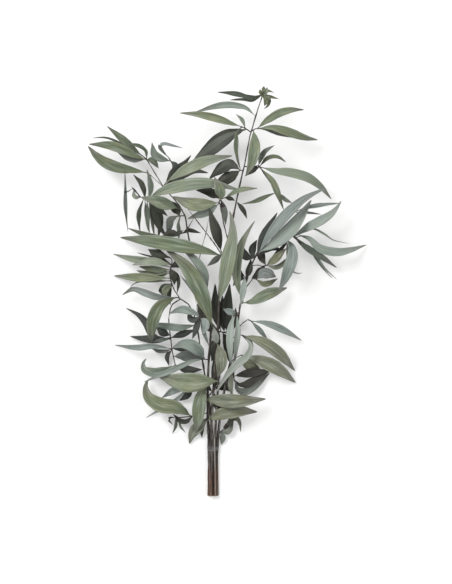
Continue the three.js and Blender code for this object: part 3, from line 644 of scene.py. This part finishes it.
for node in leaf_nodes:
    look, blades, walked = reading[node]
    leaves = leaves_of(node, blades)
    if leaves:
        pieces.append((leaves, node, slots[node]))
    if node.endswith("_leaf"):
        bpy.data.objects.remove(look)
        continue
    twig = melt(bare_twig(node, look, walked), TWIG_VOXEL, 4)
    draw_in(twig)
    pieces.append((twig, node, "bud_bark" if node == "bud_shoot" else "twig_bark"))
print(len(pieces), "pieces so far")

# %% [markdown]
# ## The clear band
#
# A narrow loop of clear film holds the stems. The model's loop is right in size, so a copy gets
# round edges from a bevel.

# %% Make the band
band = copy_of_node("clear_band", "clear_band_film")
pick(band)
soften = band.modifiers.new("Edge", "BEVEL")
soften.width = 0.25 * MM
soften.segments = 3
soften.limit_method = "ANGLE"
bpy.ops.object.modifier_apply(modifier=soften.name)
bpy.ops.object.shade_smooth_by_angle(angle=math.radians(40))
pieces.append((band, "clear_band", "clear_band"))
print("the band has", len(band.data.polygons), "faces")

# %% [markdown]
# ## Writing shader sums
#
# Patterns are sums, products and steps of numbers over the surface. A small class wraps a socket,
# so that such a sum can be written as ordinary Python.

# %% A socket that can be added and multiplied
class Field:
    def __init__(self, sheet, socket):
        self.sheet = sheet
        self.socket = socket

    def math(self, kind, other=None, third=None):
        values = [self, other, third]
        return self.sheet.node("ShaderNodeMath", {"operation": kind}, dict(enumerate(values)))

    def __add__(self, other): return self.math("ADD", other)
    def __mul__(self, other): return self.math("MULTIPLY", other)
    def __sub__(self, other): return self.math("SUBTRACT", other)
    __radd__ = __add__
    __rmul__ = __mul__
    def __rsub__(self, other): return self.math("MULTIPLY_ADD", -1, other)
    def __pow__(self, other): return self.math("POWER", other)
    def size(self): return self.math("ABSOLUTE")
    def wave(self): return self.math("SINE")

    def ramp(self, low, high):
        """0 below low, 1 above high, and smooth between them."""
        inputs = {0: self, 1: low, 2: high, 3: 0.0, 4: 1.0}
        return self.sheet.node("ShaderNodeMapRange", {"interpolation_type": "SMOOTHSTEP"}, inputs)


class Sheet:
    """One material's nodes."""

    def __init__(self, name):
        self.material = bpy.data.materials.new(name)
        self.material.use_nodes = True
        self.tree = self.material.node_tree
        self.shader = self.tree.nodes["Principled BSDF"]

    def node(self, kind, settings=None, inputs=None, output=0):
        made = self.tree.nodes.new(kind)
        for key, value in (settings or {}).items():
            setattr(made, key, value)
        for key, value in (inputs or {}).items():
            if value is not None:
                self.give(made.inputs[key], value)
        return Field(self, made.outputs[output])

    def give(self, socket, value):
        if isinstance(value, Field):
            self.tree.links.new(value.socket, socket)
        else:
            socket.default_value = value

    def blend(self, share, first, second):
        """A colour between two colours."""
        inputs = {0: share, 6: first, 7: second}
        return self.node("ShaderNodeMix", {"data_type": "RGBA"}, inputs, output=2)

    def noise(self, place, scale, detail=2.0, rough=0.5):
        inputs = {"Vector": place, "Scale": scale, "Detail": detail, "Roughness": rough}
        return self.node("ShaderNodeTexNoise", None, inputs)

    def attribute(self, name):
        return self.node("ShaderNodeAttribute", {"attribute_name": name}, None, output=2)

    def place(self):
        return self.node("ShaderNodeTexCoord", None, None, output=3)

    def point(self, x, y, z):
        return self.node("ShaderNodeCombineXYZ", None, {0: x, 1: y, 2: z})

    def stretched(self, place, scale):
        return self.node("ShaderNodeMapping", None, {"Vector": place, "Scale": scale})

    def set(self, **values):
        for key, value in values.items():
            self.give(self.shader.inputs[key.replace("_", " ")], value)

    def bump(self, height, strength, distance):
        inputs = {"Height": height, "Strength": strength, "Distance": distance}
        self.set(Normal=self.node("ShaderNodeBump", None, inputs))


# %% Colours as the studio shows them
STUDIO_GAIN = 2.0  # how much brighter the studio shows a surface than its own colour


def colour(red, green, blue):
    """A finish colour from the screen values (0 to 255) that it should show in the studio."""
    lit = [((v / 255 + 0.055) / 1.055) ** 2.4 for v in (red, green, blue)]
    return tuple(v / STUDIO_GAIN for v in lit) + (1.0,)


# %% [markdown]
# ## Leaf finishes
#
# Fresh blades are sage green under a pale waxy bloom, bluer on young shoots and taupe on old ones.
# Their undersides are painted much darker, as painted shade: the two sides of this leaf are alike,
# but a turned leaf lies in shade. The colour turns yellower along some stretches and greyer
# towards the tip, and faint streaks run along the blade. The midrib is a fine pale line, side veins
# leave it at a slant, and the margin is pale. All of it is worked out from the leaf's own map: u
# runs along the leaf, v across it. Two numbers that every leaf carries, its shade and its warmth,
# make each one a little lighter or darker, yellower or bluer than the next; the darkest are painted
# shade and the palest partly painted highlight.

# %% One leaf finish
def leaf_finish(name, body, young, tip, painted_shade_underside):
    sheet = Sheet(name)
    place = sheet.place()
    uv = sheet.node("ShaderNodeUVMap")
    along = sheet.node("ShaderNodeSeparateXYZ", None, {0: uv})
    across = Field(sheet, along.socket.node.outputs[1])
    shade = sheet.attribute("shade")
    warmth = sheet.attribute("warmth")
    under = sheet.attribute("under")
    off_rib = (across * 2 - 1).size()

    leaf_seed = shade * 7.3 + warmth * 11.9
    leaf_place = sheet.point(along * 3.2, across * 1.3, leaf_seed)
    streak_place = sheet.point(along * 3.5, across * 9, leaf_seed)
    cloud = sheet.noise(leaf_place, 1.0, 2.0)
    streak = sheet.noise(streak_place, 1.0, 3.0, 0.6)
    bloom = sheet.noise(place, 900.0, 3.0, 0.6)
    veins = ((along * 150 - off_rib * 16) * 2.0).wave()
    rib = 1 - off_rib.ramp(0.02, 0.085)

    warm = (cloud * 1.1 + warmth * 0.35).ramp(0.42, 0.92) * 0.8
    upper = sheet.blend(warm, body, young)
    upper = sheet.blend((warmth * -1.0).ramp(0.0, 1.0) * 0.75, upper, colour(138, 146, 150))
    upper = sheet.blend((along + cloud * 0.4 + shade * 0.05).ramp(0.82, 1.12) * 0.8, upper, tip)
    upper = sheet.blend(streak.ramp(0.50, 0.66) * 0.55, upper, colour(78, 84, 72))
    upper = sheet.blend(streak.ramp(0.50, 0.34) * 0.45, upper, colour(186, 192, 180))
    upper = sheet.blend(veins.ramp(0.2, 1.0) * 0.08, upper, colour(200, 208, 190))
    upper = sheet.blend(bloom.ramp(0.48, 0.75) * 0.22, upper, colour(176, 184, 178))
    upper = sheet.blend(rib * 0.45, upper, colour(178, 184, 156))
    upper = sheet.blend(off_rib.ramp(0.90, 0.99) * 0.40, upper, colour(188, 190, 174))
    # The underside is painted shade: its dark colour and near-black streaks stand for shadow on
    # turned leaves.
    lower = sheet.blend(cloud.ramp(0.35, 0.7) * 0.5, painted_shade_underside, colour(92, 92, 80))
    lower = sheet.blend(streak.ramp(0.5, 0.7) * 0.5, lower, colour(40, 42, 36))
    lower = sheet.blend(rib * 0.45, lower, colour(124, 124, 102))
    whole = sheet.blend(under, upper, lower)
    # Painted shade and painted highlight on top of each leaf's own tone: a low shade darkens a leaf
    # towards near-black olive, and a high shade pales it.
    whole = sheet.blend((shade * -1.0).ramp(0.0, 1.0) * 0.7, whole, colour(52, 56, 48))
    whole = sheet.blend(shade.ramp(0.0, 1.0) * 0.65, whole, colour(192, 202, 192))
    sheet.set(Base_Color=whole)
    sheet.set(Roughness=bloom * 0.25 + 0.52)
    sheet.shader.inputs["Specular IOR Level"].default_value = 0.3
    sheet.shader.inputs["Sheen Weight"].default_value = 0.05
    relief = veins * 0.12 + bloom * 0.15 + streak * 1.0 + rib * -0.5
    sheet.bump(relief, 0.6, 0.5 * MM)
    return sheet.material


# %% The four leaf finishes
# Body, young stretches, tip, and underside darkened as painted shade.
LEAF_COLOURS = {
    "sage": ((118, 132, 104), (138, 144, 100), (120, 118, 106), (60, 64, 51)),
    "green": ((106, 122, 92), (126, 132, 86), (112, 110, 98), (50, 54, 42)),
    "blue": ((136, 150, 142), (138, 150, 126), (132, 136, 134), (74, 80, 77)),
    "olive": ((124, 128, 106), (134, 134, 96), (120, 114, 106), (64, 61, 55)),
}
finishes = {
    "leaf_" + sort: leaf_finish(sort + "_leaf", *(colour(*c) for c in colours))
    for sort, colours in LEAF_COLOURS.items()
}
print("leaf finishes:", sorted(finishes))

# %% [markdown]
# ## Bark
#
# The bark is dark grey-brown with silvery streaks along the stem, and turns red-brown towards the
# cut ends. Over the bundled stretch near the cut ends, broad near-black strips are painted shade
# between the stems, and broad pale strips are partly silvery bark and partly painted highlight.
# The cuts themselves are pale wood.

# %% The bark finish
def bark_finish(name, deep, usual, striped):
    sheet = Sheet(name)
    place = sheet.place()
    parts = sheet.node("ShaderNodeSeparateXYZ", None, {0: place})
    y = Field(sheet, parts.socket.node.outputs[1])
    from_cut = y - cad_low.y
    streaks = sheet.noise(sheet.stretched(place, (620, 40, 620)), 1.0, 4.0, 0.6)
    strips = sheet.noise(sheet.stretched(place, (460, 15, 460)), 1.0, 1.0, 0.5)
    patches = sheet.noise(place, 90.0, 3.0)
    base = sheet.blend(patches.ramp(0.35, 0.7), deep, usual)
    red = (1 - from_cut.ramp(0.030, 0.060)) * patches.ramp(0.15, 0.55)
    base = sheet.blend(red * 0.85, base, colour(112, 76, 54))
    # The bundled stretch near the cut ends, where strips of painted shade and painted highlight go.
    bundle_shade_and_highlight = (1 - from_cut.ramp(0.10, 0.24)) * striped
    # Painted shade: near-black strips for the shade in the gaps between the bundled stems.
    base = sheet.blend(strips.ramp(0.47, 0.40) * bundle_shade_and_highlight * 0.9, base, colour(20, 17, 16))
    base = sheet.blend(streaks.ramp(0.50, 0.36) * 0.5, base, colour(36, 31, 28))
    # Painted highlight, partly silvery bark: pale strips on the same stretch.
    silver_bark_and_highlight = strips.ramp(0.55, 0.62) * bundle_shade_and_highlight * (0.85 - red * 0.45)
    base = sheet.blend(silver_bark_and_highlight, base, colour(178, 170, 162))
    base = sheet.blend(streaks.ramp(0.56, 0.68) * 0.4, base, colour(140, 132, 124))
    cut = 1 - from_cut.ramp(0.0006, 0.0010)
    base = sheet.blend(cut, base, colour(176, 150, 116))
    sheet.set(Base_Color=base)
    sheet.set(Roughness=streaks * 0.3 + 0.55)
    sheet.shader.inputs["Specular IOR Level"].default_value = 0.35
    sheet.bump(streaks + patches * 0.5, 0.6, 0.3 * MM)
    return sheet.material


# %% The band's clear film
def film_finish():
    sheet = Sheet("clear_film")
    place = sheet.place()
    haze = sheet.noise(place, 300.0, 2.0)
    sheet.set(Base_Color=sheet.blend(haze, colour(214, 220, 222), colour(238, 241, 242)))
    sheet.set(Roughness=haze * 0.2 + 0.08)
    sheet.set(Alpha=haze.ramp(0.40, 0.75) * 0.12 + 0.04)
    return sheet.material


# The last number turns on the strips of painted shade and painted highlight on the bundled stems.
finishes["bark"] = bark_finish("bark", colour(62, 54, 48), colour(88, 80, 72), 1.0)
finishes["twig_bark"] = bark_finish("twig_bark", colour(54, 42, 38), colour(74, 64, 56), 0.0)
finishes["bud_bark"] = bark_finish("bud_bark", colour(84, 92, 62), colour(124, 130, 96), 0.0)
finishes["clear_band"] = film_finish()
print(len(finishes), "finishes in all")

# %% [markdown]
# ## Handing the pieces over
#
# Every piece rides on the bunch's one body, stands in for its node of the model, and takes its
# finish. The masters were only patterns to copy, so they are thrown away.

# %% Hand the pieces over to the model
for piece, node, slot in pieces:
    piece.data.materials.clear()
    piece.data.materials.append(finishes[slot])
    for face in piece.data.polygons:
        face.material_index = 0
    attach(piece, "root")
    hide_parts(node)
for kind in masters.values():
    for master in kind:
        bpy.data.objects.remove(master)

# %% [markdown]
# ## The studio
#
# A pale table, faintly lit from below as in a product studio, a soft sky and two large soft
# lights. The camera hangs straight over the bunch and looks down, because the bunch lies flat.

# %% Floor, lights and camera
CAMERA_HEIGHT = 3.0
VIEW_HEIGHT = 0.876  # what the picture spans along Y
MIDDLE = 0.04  # half the bunch's height: the camera's height is counted from there
TABLE_DROP = 0.0002  # the table lies this little under the stems

bpy.ops.object.select_all(action="DESELECT")
bpy.ops.mesh.primitive_plane_add(size=12, location=(0, 0, -TABLE_DROP))
floor = bpy.context.object
floor.name = "floor"
paper = Sheet("floor_paper")
grain = paper.noise(paper.place(), 40.0, 3.0)
paper.set(Base_Color=paper.blend(grain, colour(246, 246, 245), colour(250, 250, 249)))
paper.set(Roughness=grain * 0.1 + 0.85)
paper.set(Emission_Color=(1.0, 1.0, 1.0, 1.0), Emission_Strength=0.3)
floor.data.materials.append(paper.material)


def soft_light(name, place, aim, size, power):
    lamp = bpy.data.lights.new(name, "AREA")
    lamp.shape = "DISK"
    lamp.size = size
    lamp.energy = power
    stand = bpy.data.objects.new(name, lamp)
    bpy.context.collection.objects.link(stand)
    stand.location = place
    stand.rotation_euler = (Vector(aim) - Vector(place)).to_track_quat("-Z", "Y").to_euler()


soft_light("key_light", (-1.4, 1.2, 2.4), (0, 0, 0), 1.4, 95)
soft_light("fill_light", (1.8, -0.6, 2.2), (0, 0, 0), 1.8, 30)

sky = bpy.data.worlds.new("studio_sky")
sky.use_nodes = True
sky.node_tree.nodes["Background"].inputs["Color"].default_value = (1, 1, 1, 1)
sky.node_tree.nodes["Background"].inputs["Strength"].default_value = 0.75
bpy.context.scene.world = sky
bpy.context.scene.view_settings.view_transform = "Standard"

lens = bpy.data.cameras.new("camera")
lens.sensor_fit = "VERTICAL"
lens.sensor_height = 24
lens.lens = lens.sensor_height * CAMERA_HEIGHT / VIEW_HEIGHT
lens.clip_end = 50
camera = bpy.data.objects.new("camera", lens)
bpy.context.collection.objects.link(camera)
camera.location = (-2 * MM, 1 * MM, CAMERA_HEIGHT + MIDDLE)
bpy.context.scene.camera = camera
print("the camera hangs", round(camera.location.z, 3), "m over the table")
